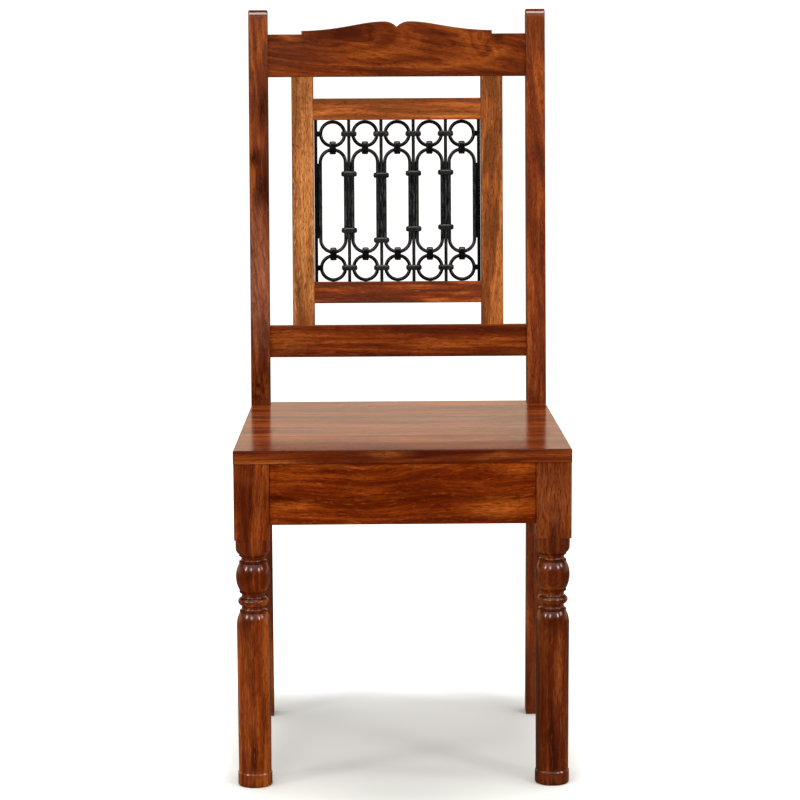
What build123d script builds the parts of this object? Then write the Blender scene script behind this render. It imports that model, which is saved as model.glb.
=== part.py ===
from build123d import *
import os
from math import cos, radians, sin, sqrt

# A wooden dining chair with turned front legs and an iron grille in its back.
# Millimetres, +Z up, front towards -Y, origin on the floor under the middle of the chair.

# Seat
seat_height = 457.0
seat_thickness = 17.5
seat_front_width = 446.0
seat_behind_post = 30.0
seat_overhang = 0.5
seat_edge_round = 1.8
seat_board_count = 4
notch_clearance = 0.4

# Rear posts
back_width = 417.0
post_setback = 361.0
post_width = 27.0
post_depth_foot = 32.0
post_depth_seat = 36.0
post_depth_top = 30.0
post_above_crest = 34.5
post_top_round = 12.0
post_bend_round = 150.0
post_foot_rake = 18.0
post_rake_drop = 10.0
back_lean = 6.0

# Front legs, from the block down to the foot
leg_block = 46.8
leg_axis_inset = 24.0
block_below_apron = 20.3
cup_radius = 23.2
cup_bottom_radius = 22.9
cup_straight = 14.7
cup_height = 22.9
ridge_radius = 18.5
ridge_height = 1.8
quirk = 1.0
neck_radius = 15.3
neck_height = 7.1
ball_radius = 22.9
ball_height = 38.6
cove_height = 6.8
cove_low = 4.0
bead_radius = 20.3
bead_root_radius = 16.2
bead_height = 10.8
shoulder_height = 18.4
shaft_top_radius = 22.5
shaft_foot_radius = 21.8
foot_radius = 22.9
foot_height = 19.0
foot_groove = 2.0
foot_round = 2.5

# Aprons and corner blocks
apron_height = 82.0
apron_thickness = 20.0
apron_setback = 0.5
rear_apron_setback = 9.0
corner_block_height = 32.0
corner_block_reach = 40.0

# Back, measured up the slope of the back from the top of the seat
lower_rail_rise = 67.5
lower_rail_height = 45.0
gap_below_panel = 31.0
panel_rail_height = 30.2
grille_height = 228.1
gap_above_panel = 30.5
crest_height = 59.5
crest_step = 4.9
crest_step_reach = 134.0
crest_peak_rise = 12.7
crest_peak_reach = 17.5
crest_notch_depth = 7.6
crest_flank_reach = 62.0
crest_flank_rise = 7.4
rail_thickness = 22.0
rail_recess = 4.0
stile_width = 31.0
stile_thickness = 20.0
stile_recess = 5.0
panel_rail_thickness = 19.0
panel_rail_recess = 5.5

# Iron grille
wire = 5.05
rod = 4.7
loop_width = 40.5
touch_gap = 0.15
ring_to_rod_gap = 0.95
ring_end_gap = 0.2
tie_gap = 0.3
side_bar_gap = 1.3
side_bar_to_stile = 0.5
rod_let_in = 7.0
upper_collar_rises = (152.1, 150.0, 152.6, 153.7)
lower_collar_rises = (72.5, 58.5, 74.2, 76.5)
collar_height = 7.6
collar_width = 22.2
collar_wall_front = 3.0
collar_round = 2.6
tie_width = 9.2
tie_height = 18.4
tie_wall_front = 2.4
tie_round = 2.0
spacer_height = 7.5
spacer_depth = 4.0
strip_depth = 3.0
strip_from_bend = 1.5

# Joinery
tenon_thickness = 9.0
tenon_shoulder = 8.0
apron_tenon_length = 22.0
rear_tenon_length = 11.0
rail_tenon_length = 14.0
panel_tenon_length = 12.0
panel_tenon_shoulder = 6.0
tenon_spacing = 2.0
tenon_fit = 0.1
tenon_end_gap = 1.0
edge_round = 1.2

# Screws
screw_diameter = 4.2
screw_head_diameter = 8.0
screw_head_height = 2.6
screw_fit = 0.1
screw_head_room = 0.5
screw_grip = 14.0
apron_bite = 14.0
seat_bite = 10.0
screw_offset = 18.0
drill_overrun = 1.0
seat_screw_offset = 7.5

# Places worked out from the sizes above
lean = radians(back_lean)
up_dir = Vector(0, sin(lean), cos(lean))
front_dir = Vector(0, -cos(lean), sin(lean))

lower_rail_top = lower_rail_rise + lower_rail_height
panel_bottom = lower_rail_top + gap_below_panel
opening_bottom = panel_bottom + panel_rail_height
opening_top = opening_bottom + grille_height
panel_top = opening_top + panel_rail_height
crest_bottom = panel_top + gap_above_panel
crest_shoulder = crest_bottom + crest_height
post_top = crest_shoulder + post_above_crest

round_centre_up = post_top - post_top_round
round_centre_depth = post_depth_top - post_top_round
overall_depth = (
    post_setback + round_centre_up * sin(lean) + round_centre_depth * cos(lean) + post_top_round
)

seat_front = -overall_depth / 2
seat_back = seat_front + post_setback + seat_behind_post
seat_underside = seat_height - seat_thickness
post_front = seat_front + post_setback
post_outer = back_width / 2
post_inner = post_outer - post_width
side_taper = (seat_front_width - back_width) / 2 / post_setback

leg_front = seat_front + seat_overhang
leg_back = leg_front + leg_block
leg_outer = seat_front_width / 2 - seat_overhang
leg_inner = leg_outer - leg_block
leg_axis_x = leg_outer - leg_axis_inset
leg_axis_y = leg_front + leg_block / 2
block_bottom = seat_underside - apron_height - block_below_apron

apron_bottom = seat_underside - apron_height
corner_middle = seat_underside - corner_block_height / 2
tenon_inset = (apron_thickness - tenon_thickness) / 2
front_apron_front = leg_front + apron_setback
front_apron_back = front_apron_front + apron_thickness
rear_apron_front = post_front + rear_apron_setback
side_tenon_rear_length = rear_apron_setback + tenon_inset - tenon_spacing

pitch = loop_width + rod + 2 * touch_gap
rod_count = len(upper_collar_rises)
ring_count = rod_count + 1
ring_xs = [(i - rod_count / 2) * pitch for i in range(ring_count)]
rod_xs = [x + pitch / 2 for x in ring_xs[:-1]]
ring_outer = pitch - rod - 2 * ring_to_rod_gap
ring_radius = (ring_outer - wire) / 2
loop_radius = (loop_width - wire) / 2
side_bar_x = ring_xs[-1] + loop_width / 2 + side_bar_gap + rod / 2
opening_half = side_bar_x + rod / 2 + side_bar_to_stile
stile_outer = opening_half + stile_width
grille_depth = stile_recess + stile_thickness / 2
bottom_ring_up = opening_bottom + ring_end_gap + ring_outer / 2
top_ring_up = opening_top - ring_end_gap - ring_outer / 2
loop_bottom = bottom_ring_up + ring_outer / 2 + tie_gap
loop_top = top_ring_up - ring_outer / 2 - tie_gap
loop_bend_bottom = loop_bottom + loop_width / 2
loop_bend_top = loop_top - loop_width / 2

back_plane = Plane(origin=(0, post_front, seat_height), x_dir=(1, 0, 0), z_dir=front_dir)


def back_point(x, up, depth):
    """A point of the back: across, up the slope, and behind the front of the posts."""
    return back_plane.from_local_coords(Vector(x, up, -depth))


def facing_plane(x, up, depth):
    """A plane parallel to the back, facing forward, with its origin at a point of the back."""
    return Plane(origin=back_point(x, up, depth), x_dir=(1, 0, 0), z_dir=front_dir)


def across_plane(x, up, depth):
    """A plane square to the slope of the back, facing up it."""
    return Plane(origin=back_point(x, up, depth), x_dir=(1, 0, 0), z_dir=up_dir)


def side_plane(x, up, depth):
    """A plane square to the chair's width, with its x axis up the slope of the back."""
    return Plane(origin=back_point(x, up, depth), x_dir=up_dir, z_dir=(1, 0, 0))


def seat_half_width(y):
    return seat_front_width / 2 - (y - seat_front) * side_taper


def side_apron_outer(y):
    return seat_half_width(y) - seat_overhang - apron_setback


def side_apron_inner(y):
    return side_apron_outer(y) - apron_thickness


def fill(low, high, mode=Mode.ADD):
    """A box between two opposite corners, in the part being built."""
    size = [abs(b - a) for a, b in zip(low, high)]
    middle = [(a + b) / 2 for a, b in zip(low, high)]
    with Locations(tuple(middle)):
        Box(*size, mode=mode)


def drill(start, direction, radius, length):
    """A round hole from a point along a direction, in the part being built."""
    with BuildSketch(Plane(origin=start, z_dir=direction)) as mouth:
        Circle(radius)
    extrude(mouth.sketch, amount=length, mode=Mode.SUBTRACT)


def back_block(x_low, x_high, low, high, recess, thickness, mode=Mode.ADD):
    """A straight piece of the back, or a cut of that shape, in the part being built."""
    with BuildSketch(back_plane.offset(-recess)) as front:
        with Locations(((x_low + x_high) / 2, (low + high) / 2)):
            Rectangle(abs(x_high - x_low), high - low)
    extrude(front.sketch, amount=-thickness, mode=mode)


def back_mortise(x_low, x_high, low, high, recess, thickness):
    """A mortise in the back, for a tenon in the middle of a piece of that thickness."""
    inset = recess + (thickness - tenon_thickness) / 2
    back_block(
        x_low, x_high, low, high, inset - tenon_fit, tenon_thickness + 2 * tenon_fit, Mode.SUBTRACT
    )


def keep(name, piece):
    piece.part.label = name
    export_step(piece.part, f"parts/{name}.step")


def side_name(side):
    return "left" if side < 0 else "right"


# Corners of the seat frame: the block's outline and where its screws go
def corner(side, at_front):
    if at_front:
        beside, inner, face, turn = leg_back, leg_inner, front_apron_back, 1
    else:
        beside, inner, face, turn = post_front, post_inner, rear_apron_front, -1
    far = beside + turn * corner_block_reach
    outline = [
        (inner, face),
        (inner - corner_block_reach, face),
        (side_apron_inner(far), far),
        (side_apron_inner(beside), beside),
        (inner, beside),
    ]
    side_y = beside + turn * screw_offset
    return {
        "outline": [(side * x, y) for x, y in outline],
        "end_screw": (Vector(side * (inner - screw_offset), face, corner_middle), Vector(0, -turn, 0)),
        "side_screw": (Vector(side * side_apron_inner(side_y), side_y, corner_middle), Vector(side, 0, 0)),
        "seat_screw": (
            Vector(side * (inner - seat_screw_offset), beside - seat_screw_offset, seat_underside),
            Vector(0, 0, 1),
        ),
    }


corners = {
    f"{place}_{side_name(side)}": corner(side, place == "front")
    for place in ("front", "rear")
    for side in (-1, 1)
}
apron_screws = [spot[kind] for spot in corners.values() for kind in ("end_screw", "side_screw")]
seat_screws = [spot["seat_screw"] for spot in corners.values()]
screw_hole = screw_diameter / 2 + screw_fit
head_hole = screw_head_diameter / 2 + screw_head_room


def drill_bites(screws, bite):
    """The holes that screws cut in the pieces they are driven into."""
    for point, direction in screws:
        length = drill_overrun + bite + tenon_end_gap
        drill(point - direction * drill_overrun, direction, screw_hole, length)


def front_leg(side):
    axis_x = side * leg_axis_x
    cup_bottom = block_bottom - cup_height
    neck_top = cup_bottom - ridge_height
    neck_bottom = neck_top - neck_height
    ball_top = neck_bottom - ridge_height
    ball_bottom = ball_top - ball_height
    upper_cove_top = ball_bottom - ridge_height
    bead_top = upper_cove_top - cove_height
    bead_bottom = bead_top - bead_height
    lower_cove_bottom = bead_bottom - cove_height
    shoulder_top = lower_cove_bottom - ridge_height
    shaft_top = shoulder_top - shoulder_height
    collar_top = foot_height - foot_groove
    quirk_radius = ridge_radius - quirk
    with BuildPart() as leg:
        with BuildSketch(Plane.XY.offset(block_bottom)):
            back_outer = side_apron_outer(leg_back) + apron_setback
            corners_xy = [
                (leg_outer, leg_front),
                (leg_inner, leg_front),
                (leg_inner, leg_back),
                (back_outer, leg_back),
            ]
            Polygon([(side * x, y) for x, y in corners_xy], align=None)
        extrude(amount=seat_underside - block_bottom)
        fillet(leg.edges().filter_by(Axis.Z), radius=edge_round)
        with BuildSketch(Plane(origin=(axis_x, leg_axis_y, 0), x_dir=(1, 0, 0), z_dir=(0, -1, 0))):
            with BuildLine():
                Line((0, 0), (foot_radius - foot_round, 0))
                ThreePointArc(
                    (foot_radius - foot_round, 0),
                    (foot_radius - foot_round * (1 - cos(radians(45))), foot_round * (1 - sin(radians(45)))),
                    (foot_radius, foot_round),
                )
                Line((foot_radius, foot_round), (foot_radius, collar_top))
                Line((foot_radius, collar_top), (shaft_foot_radius, foot_height))
                Line((shaft_foot_radius, foot_height), (shaft_top_radius, shaft_top))
                TangentArc((shaft_top_radius, shaft_top), (quirk_radius, shoulder_top), tangent=(0, 1))
                Line((quirk_radius, shoulder_top), (ridge_radius, shoulder_top))
                Line((ridge_radius, shoulder_top), (ridge_radius, lower_cove_bottom))
                ThreePointArc(
                    (ridge_radius, lower_cove_bottom),
                    (neck_radius, lower_cove_bottom + cove_low),
                    (bead_root_radius, bead_bottom),
                )
                ThreePointArc(
                    (bead_root_radius, bead_bottom),
                    (bead_radius, (bead_bottom + bead_top) / 2),
                    (bead_root_radius, bead_top),
                )
                ThreePointArc(
                    (bead_root_radius, bead_top),
                    (neck_radius, upper_cove_top - cove_low),
                    (ridge_radius, upper_cove_top),
                )
                Line((ridge_radius, upper_cove_top), (ridge_radius, ball_bottom))
                Line((ridge_radius, ball_bottom), (quirk_radius, ball_bottom))
                ThreePointArc(
                    (quirk_radius, ball_bottom),
                    (ball_radius, (ball_bottom + ball_top) / 2),
                    (quirk_radius, ball_top),
                )
                Line((quirk_radius, ball_top), (ridge_radius, ball_top))
                Line((ridge_radius, ball_top), (ridge_radius, neck_bottom))
                ThreePointArc(
                    (ridge_radius, neck_bottom),
                    (neck_radius, (neck_bottom + neck_top) / 2),
                    (ridge_radius, neck_top),
                )
                Line((ridge_radius, neck_top), (ridge_radius, cup_bottom))
                Line((ridge_radius, cup_bottom), (quirk_radius, cup_bottom))
                cup_turn = (cup_bottom_radius, block_bottom - cup_straight)
                TangentArc(cup_turn, (quirk_radius, cup_bottom), tangent=(0, -1))
                Line(cup_turn, (cup_radius, block_bottom))
                Line((cup_radius, block_bottom), (0, block_bottom))
                Line((0, block_bottom), (0, 0))
            make_face()
        revolve(axis=Axis((axis_x, leg_axis_y, 0), (0, 0, 1)))
        # Mortises for the front and side aprons
        front_mortise = front_apron_front + tenon_inset - tenon_fit
        fill(
            (side * leg_inner, front_mortise, apron_bottom + tenon_shoulder - tenon_fit),
            (
                side * (leg_inner + apron_tenon_length + tenon_end_gap),
                front_mortise + tenon_thickness + 2 * tenon_fit,
                seat_underside - tenon_shoulder + tenon_fit,
            ),
            Mode.SUBTRACT,
        )
        side_mortise = side_apron_inner(leg_back) + tenon_inset - tenon_fit
        fill(
            (side * side_mortise, leg_back, apron_bottom + tenon_shoulder - tenon_fit),
            (
                side * (side_mortise + tenon_thickness + 2 * tenon_fit),
                leg_back - apron_tenon_length - tenon_end_gap,
                seat_underside - tenon_shoulder + tenon_fit,
            ),
            Mode.SUBTRACT,
        )
    return leg


def rear_post(side):
    top_front = back_point(0, post_top, 0)
    top_back = back_point(0, post_top, post_depth_top)
    inner = side * post_inner
    foot_front = post_front + post_foot_rake
    rake_start = apron_bottom - post_rake_drop
    with BuildPart() as post:
        with BuildSketch(Plane.YZ.offset(min(inner, side * post_outer))) as profile:
            Polygon(
                [
                    (foot_front, 0),
                    (foot_front + post_depth_foot, 0),
                    (post_front + post_depth_seat, rake_start),
                    (post_front + post_depth_seat, seat_height),
                    (top_back.Y, top_back.Z),
                    (top_front.Y, top_front.Z),
                    (post_front, seat_height),
                    (post_front, rake_start),
                ],
                align=None,
            )
            fillet(profile.vertices().sort_by(Axis.Y)[2:6], radius=post_bend_round)
            fillet(profile.vertices().sort_by(Axis.Y)[-2:], radius=post_top_round)
            fillet(profile.vertices().sort_by(Axis.Y)[:2], radius=edge_round)
        extrude(amount=post_width)
        fillet(post.edges().filter_by(Axis.X, reverse=True), radius=edge_round)
        # Mortises for the back rails, the rear apron and the side apron
        far = side * (post_inner + rail_tenon_length + tenon_end_gap)
        for low, high in ((lower_rail_rise, lower_rail_top), (crest_bottom, crest_shoulder)):
            back_mortise(
                inner,
                far,
                low + tenon_shoulder - tenon_fit,
                high - tenon_shoulder + tenon_fit,
                rail_recess,
                rail_thickness,
            )
        rear_mortise = rear_apron_front + tenon_inset - tenon_fit
        fill(
            (inner, rear_mortise, apron_bottom + tenon_shoulder - tenon_fit),
            (
                side * (post_inner + rear_tenon_length + tenon_end_gap),
                rear_mortise + tenon_thickness + 2 * tenon_fit,
                seat_underside - tenon_shoulder + tenon_fit,
            ),
            Mode.SUBTRACT,
        )
        side_mortise = side_apron_inner(post_front) + tenon_inset - tenon_fit
        fill(
            (side * side_mortise, post_front, apron_bottom + tenon_shoulder - tenon_fit),
            (
                side * (side_mortise + tenon_thickness + 2 * tenon_fit),
                post_front + side_tenon_rear_length + tenon_fit,
                seat_underside - tenon_shoulder + tenon_fit,
            ),
            Mode.SUBTRACT,
        )
    return post


def end_apron(front, half_length, tenon_length):
    """The front or rear apron, between the legs or the posts."""
    with BuildPart() as apron:
        fill((-half_length, front, apron_bottom), (half_length, front + apron_thickness, seat_underside))
        fillet(apron.edges().filter_by(Axis.X).group_by(Axis.Z)[0], radius=edge_round)
        reach = half_length + tenon_length
        tenon_front = front + tenon_inset
        fill(
            (-reach, tenon_front, apron_bottom + tenon_shoulder),
            (reach, tenon_front + tenon_thickness, seat_underside - tenon_shoulder),
        )
        drill_bites(apron_screws, apron_bite)
    return apron


def side_apron(side):
    with BuildPart() as apron:
        with BuildSketch(Plane.XY.offset(apron_bottom)):
            outline = [
                (side_apron_outer(leg_back), leg_back),
                (side_apron_outer(post_front), post_front),
                (side_apron_inner(post_front), post_front),
                (side_apron_inner(leg_back), leg_back),
            ]
            Polygon([(side * x, y) for x, y in outline], align=None)
        extrude(amount=apron_height)
        lower_edges = apron.edges().group_by(Axis.Z)[0].filter_by(Axis.X, reverse=True)
        fillet(lower_edges, radius=edge_round)
        front_tenon = side_apron_inner(leg_back) + tenon_inset
        rear_tenon = side_apron_inner(post_front) + tenon_inset
        low = apron_bottom + tenon_shoulder
        high = seat_underside - tenon_shoulder
        fill(
            (side * front_tenon, leg_back - apron_tenon_length, low),
            (side * (front_tenon + tenon_thickness), leg_back, high),
        )
        fill(
            (side * rear_tenon, post_front, low),
            (side * (rear_tenon + tenon_thickness), post_front + side_tenon_rear_length, high),
        )
        drill_bites(apron_screws, apron_bite)
    return apron


def corner_block(spot):
    top_hole = corner_block_height - screw_grip
    with BuildPart() as block:
        with BuildSketch(Plane.XY.offset(seat_underside - corner_block_height)):
            Polygon(spot["outline"], align=None)
        extrude(amount=corner_block_height)
        for kind in ("end_screw", "side_screw", "seat_screw"):
            point, direction = spot[kind]
            drill(point + direction * drill_overrun, -direction, screw_hole, drill_overrun + screw_grip)
            depth = corner_block_reach if kind != "seat_screw" else top_hole
            drill(point - direction * screw_grip, -direction, head_hole, depth)
    return block


def screw_set(screws, bite):
    with BuildPart() as screws_made:
        for point, direction in screws:
            with BuildSketch(Plane(origin=point - direction * screw_grip, z_dir=direction)):
                Circle(screw_diameter / 2)
            extrude(amount=screw_grip + bite)
            with BuildSketch(Plane(origin=point - direction * screw_grip, z_dir=-direction)):
                Circle(screw_head_diameter / 2)
            extrude(amount=screw_head_height)
    return screws_made


def seat_board(index):
    depth = (seat_back - seat_front) / seat_board_count
    front = seat_front + index * depth
    back = front + depth
    with BuildPart() as board:
        with BuildSketch(Plane.XY.offset(seat_underside)):
            Polygon(
                [
                    (-seat_half_width(front), front),
                    (seat_half_width(front), front),
                    (seat_half_width(back), back),
                    (-seat_half_width(back), back),
                ],
                align=None,
            )
        extrude(amount=seat_thickness)
        top_edges = board.edges().group_by(Axis.Z)[-1]
        rounded = top_edges.filter_by(Axis.X, reverse=True)
        if index == 0:
            front_corners = board.edges().filter_by(Axis.Z).group_by(Axis.Y)[0]
            rounded = rounded + top_edges.sort_by(Axis.Y)[:1] + front_corners
        if index == seat_board_count - 1:
            rounded = rounded + top_edges.sort_by(Axis.Y)[-1:]
        fillet(rounded, radius=seat_edge_round)
        for side in (-1, 1):
            fill(
                (side * (post_inner - notch_clearance), post_front - notch_clearance, seat_underside),
                (side * seat_front_width, seat_back + seat_behind_post, seat_height),
                Mode.SUBTRACT,
            )
        drill_bites(seat_screws, seat_bite)
    return board


def add_rail_tenon(low, high, reach, recess, thickness, shoulder):
    inset = recess + (thickness - tenon_thickness) / 2
    back_block(-reach, reach, low + shoulder, high - shoulder, inset, tenon_thickness)


def cut_stile_mortises(low, high):
    """Mortises in the crest rail or the lower rail for the ends of both stiles."""
    for side in (-1, 1):
        back_mortise(
            side * (opening_half + panel_tenon_shoulder - tenon_fit),
            side * (stile_outer - panel_tenon_shoulder + tenon_fit),
            low,
            high,
            stile_recess,
            stile_thickness,
        )


def lower_back_rail():
    with BuildPart() as rail:
        back_block(-post_inner, post_inner, lower_rail_rise, lower_rail_top, rail_recess, rail_thickness)
        fillet(rail.edges().filter_by(Axis.X), radius=edge_round)
        add_rail_tenon(
            lower_rail_rise,
            lower_rail_top,
            post_inner + rail_tenon_length,
            rail_recess,
            rail_thickness,
            tenon_shoulder,
        )
        cut_stile_mortises(lower_rail_top - panel_tenon_length - tenon_end_gap, lower_rail_top)
    return rail


def crest_rail():
    step_top = crest_shoulder + crest_step
    peak = step_top + crest_peak_rise
    with BuildPart() as crest:
        with BuildSketch(back_plane.offset(-rail_recess)):
            with BuildLine():
                Polyline(
                    (0, crest_bottom),
                    (post_inner, crest_bottom),
                    (post_inner, crest_shoulder),
                    (crest_step_reach, crest_shoulder),
                    (crest_step_reach, step_top),
                )
                Spline(
                    (crest_step_reach, step_top),
                    (crest_flank_reach, step_top + crest_flank_rise),
                    (crest_peak_reach, peak),
                    tangents=[(-1, 0), (-1, 0)],
                )
                TangentArc((crest_peak_reach, peak), (0, peak - crest_notch_depth), tangent=(-1, 0))
                Line((0, peak - crest_notch_depth), (0, crest_bottom))
            make_face()
            mirror(about=Plane.YZ)
        extrude(amount=-rail_thickness)
        broad_faces = crest.faces().sort_by(SortBy.AREA)[-2:]
        rims = [face.edges().filter_by(Axis((0, 0, 0), up_dir), reverse=True) for face in broad_faces]
        fillet(rims[0] + rims[1], radius=edge_round)
        add_rail_tenon(
            crest_bottom,
            crest_shoulder,
            post_inner + rail_tenon_length,
            rail_recess,
            rail_thickness,
            tenon_shoulder,
        )
        cut_stile_mortises(crest_bottom, crest_bottom + panel_tenon_length + tenon_end_gap)
    return crest


def panel_stile(side):
    inset = stile_recess + (stile_thickness - tenon_thickness) / 2
    with BuildPart() as stile:
        back_block(
            side * opening_half,
            side * stile_outer,
            lower_rail_top,
            crest_bottom,
            stile_recess,
            stile_thickness,
        )
        fillet(stile.edges().filter_by(Axis((0, 0, 0), up_dir)), radius=edge_round)
        back_block(
            side * (opening_half + panel_tenon_shoulder),
            side * (stile_outer - panel_tenon_shoulder),
            lower_rail_top - panel_tenon_length,
            crest_bottom + panel_tenon_length,
            inset,
            tenon_thickness,
        )
        for low, high in ((panel_bottom, opening_bottom), (opening_top, panel_top)):
            back_mortise(
                side * opening_half,
                side * (opening_half + panel_tenon_length + tenon_end_gap),
                low + panel_tenon_shoulder - tenon_fit,
                high - panel_tenon_shoulder + tenon_fit,
                panel_rail_recess,
                panel_rail_thickness,
            )
    return stile


def panel_rail(low, high, opening_edge, inward):
    """A panel rail, with the holes that the ends of the iron rods and side bars are let into."""
    with BuildPart() as rail:
        back_block(-opening_half, opening_half, low, high, panel_rail_recess, panel_rail_thickness)
        fillet(rail.edges().filter_by(Axis.X), radius=edge_round)
        add_rail_tenon(
            low,
            high,
            opening_half + panel_tenon_length,
            panel_rail_recess,
            panel_rail_thickness,
            panel_tenon_shoulder,
        )
        for x in [-side_bar_x, *rod_xs, side_bar_x]:
            mouth = back_point(x, opening_edge, grille_depth)
            drill(mouth, up_dir * inward, rod / 2 + tenon_fit, rod_let_in + tenon_end_gap)
    return rail


def grille_rod(x):
    with BuildPart() as bar:
        with BuildSketch(across_plane(x, opening_bottom - rod_let_in, grille_depth)):
            Circle(rod / 2)
        extrude(amount=grille_height + 2 * rod_let_in)
    return bar


def grille_ring(x, up):
    with BuildPart(facing_plane(x, up, grille_depth)) as ring:
        Torus(ring_radius, wire / 2)
    return ring


def grille_loop(x):
    low = loop_bend_bottom
    high = loop_bend_top
    with BuildPart() as loop:
        for leg_x in (x - loop_radius, x + loop_radius):
            with BuildSketch(across_plane(leg_x, low, grille_depth)):
                Circle(wire / 2)
            extrude(amount=high - low)
        for up, turn in ((low, -1), (high, 1)):
            with BuildSketch(across_plane(x, up, grille_depth)):
                with Locations((loop_radius, 0)):
                    Circle(wire / 2)
            revolve(axis=Axis(back_point(x, up, grille_depth), front_dir * turn), revolution_arc=180)
    return loop


def bent_reach(middle_radius, beyond):
    """How far a bent wire's hollow side is from its outermost line, this far round the bend."""
    inner = middle_radius - wire / 2
    return middle_radius + wire / 2 - sqrt(inner**2 - beyond**2)


def grille_collars(places, wire_reach):
    """Bands round a rod and the wires on either side of it, at (across, up) places."""
    slot = 2 * (wire_reach + touch_gap)
    slot_depth = wire + 2 * touch_gap
    with BuildPart() as collars:
        for x, up in places:
            with BuildSketch(across_plane(x, up - collar_height / 2, grille_depth)):
                SlotOverall(collar_width, slot_depth + 2 * collar_wall_front)
            extrude(amount=collar_height)
        fillet(collars.edges(), radius=collar_round)
        for x, up in places:
            with BuildSketch(across_plane(x, up - collar_height, grille_depth)):
                SlotOverall(slot, slot_depth)
            extrude(amount=2 * collar_height, mode=Mode.SUBTRACT)
    return collars


def grille_ties(up):
    """Bands that tie each ring to its loop, where the two wires run side by side."""
    ring_reach = bent_reach(ring_radius, tie_width / 2)
    slot = 2 * (tie_gap / 2 + ring_reach + touch_gap)
    slot_depth = wire + 2 * touch_gap
    with BuildPart() as ties:
        for x in ring_xs:
            with BuildSketch(side_plane(x - tie_width / 2, up, grille_depth)):
                SlotOverall(tie_height, slot_depth + 2 * tie_wall_front)
            extrude(amount=tie_width)
        fillet(ties.edges(), radius=tie_round)
        for x in ring_xs:
            with BuildSketch(side_plane(x - tie_width, up, grille_depth)):
                SlotOverall(slot, slot_depth)
            extrude(amount=2 * tie_width, mode=Mode.SUBTRACT)
    return ties


def side_spacers():
    """Short blocks between the end rings and the side bars, and a strip along each end loop."""
    end_leg_x = ring_xs[-1] + loop_radius
    with BuildPart() as spacers:
        for side in (-1, 1):
            for up in (bottom_ring_up, top_ring_up):
                back_block(
                    side * (ring_xs[-1] + ring_radius),
                    side * side_bar_x,
                    up - spacer_height / 2,
                    up + spacer_height / 2,
                    grille_depth - spacer_depth / 2,
                    spacer_depth,
                )
            back_block(
                side * end_leg_x,
                side * side_bar_x,
                loop_bend_bottom + strip_from_bend,
                loop_bend_top - strip_from_bend,
                grille_depth - strip_depth / 2,
                strip_depth,
            )
        for side in (-1, 1):
            with BuildSketch(across_plane(side * side_bar_x, opening_bottom, grille_depth)):
                Circle(rod / 2 + touch_gap)
            extrude(amount=grille_height, mode=Mode.SUBTRACT)
            with BuildSketch(across_plane(side * end_leg_x, loop_bend_bottom, grille_depth)):
                Circle(wire / 2 + touch_gap)
            extrude(amount=loop_bend_top - loop_bend_bottom, mode=Mode.SUBTRACT)
            for up in (bottom_ring_up, top_ring_up):
                with BuildSketch(across_plane(side * ring_xs[-1], up, grille_depth)):
                    with Locations((ring_radius, 0)):
                        Circle(wire / 2 + touch_gap)
                centre = back_point(side * ring_xs[-1], up, grille_depth)
                revolve(axis=Axis(centre, front_dir), revolution_arc=360, mode=Mode.SUBTRACT)
    return spacers


os.makedirs("parts", exist_ok=True)

# Wooden frame
for side in (-1, 1):
    keep(f"front_leg_{side_name(side)}", front_leg(side))
    keep(f"rear_post_{side_name(side)}", rear_post(side))
    keep(f"side_apron_{side_name(side)}", side_apron(side))
    keep(f"panel_stile_{side_name(side)}", panel_stile(side))
keep("front_apron", end_apron(front_apron_front, leg_inner, apron_tenon_length))
keep("rear_apron", end_apron(rear_apron_front, post_inner, rear_tenon_length))
keep("crest_rail", crest_rail())
keep("lower_back_rail", lower_back_rail())
keep("panel_rail_bottom", panel_rail(panel_bottom, opening_bottom, opening_bottom, -1))
keep("panel_rail_top", panel_rail(opening_top, panel_top, opening_top, 1))
for index in range(seat_board_count):
    keep(f"seat_board_{index + 1}", seat_board(index))
for place, spot in corners.items():
    keep(f"corner_block_{place}", corner_block(spot))
keep("corner_block_screws", screw_set(apron_screws, apron_bite))
keep("seat_screws", screw_set(seat_screws, seat_bite))

# Iron grille
for side in (-1, 1):
    keep(f"grille_side_bar_{side_name(side)}", grille_rod(side * side_bar_x))
for number, x in enumerate(rod_xs, 1):
    keep(f"grille_rod_{number}", grille_rod(x))
for number, x in enumerate(ring_xs, 1):
    keep(f"grille_loop_{number}", grille_loop(x))
    keep(f"grille_ring_top_{number}", grille_ring(x, top_ring_up))
    keep(f"grille_ring_bottom_{number}", grille_ring(x, bottom_ring_up))
upper_places = [(x, opening_bottom + rise) for x, rise in zip(rod_xs, upper_collar_rises)]
lower_places = [(x, opening_bottom + rise) for x, rise in zip(rod_xs, lower_collar_rises)]
upper_beyond = max(0, opening_bottom + max(upper_collar_rises) + collar_height / 2 - loop_bend_top)
lower_beyond = max(0, loop_bend_bottom - opening_bottom - min(lower_collar_rises) + collar_height / 2)
leg_start = rod / 2 + touch_gap
upper_reach = leg_start + bent_reach(loop_radius, upper_beyond)
lower_reach = leg_start + bent_reach(loop_radius, lower_beyond)
ring_start = rod / 2 + ring_to_rod_gap
ring_reach = ring_start + bent_reach(ring_radius, collar_height / 2)
keep("grille_collars_upper", grille_collars(upper_places, upper_reach))
keep("grille_collars_lower", grille_collars(lower_places, lower_reach))
keep("grille_ring_collars_top", grille_collars([(x, top_ring_up) for x in rod_xs], ring_reach))
keep("grille_ring_collars_bottom", grille_collars([(x, bottom_ring_up) for x in rod_xs], ring_reach))
keep("grille_ties_top", grille_ties(loop_top + tie_gap / 2))
keep("grille_ties_bottom", grille_ties(loop_bottom - tie_gap / 2))
keep("grille_side_spacers", side_spacers())
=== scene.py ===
from dataclasses import dataclass
from math import cos, pi, radians, sin

import bpy
from mathutils import Euler, Matrix, Vector


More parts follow.
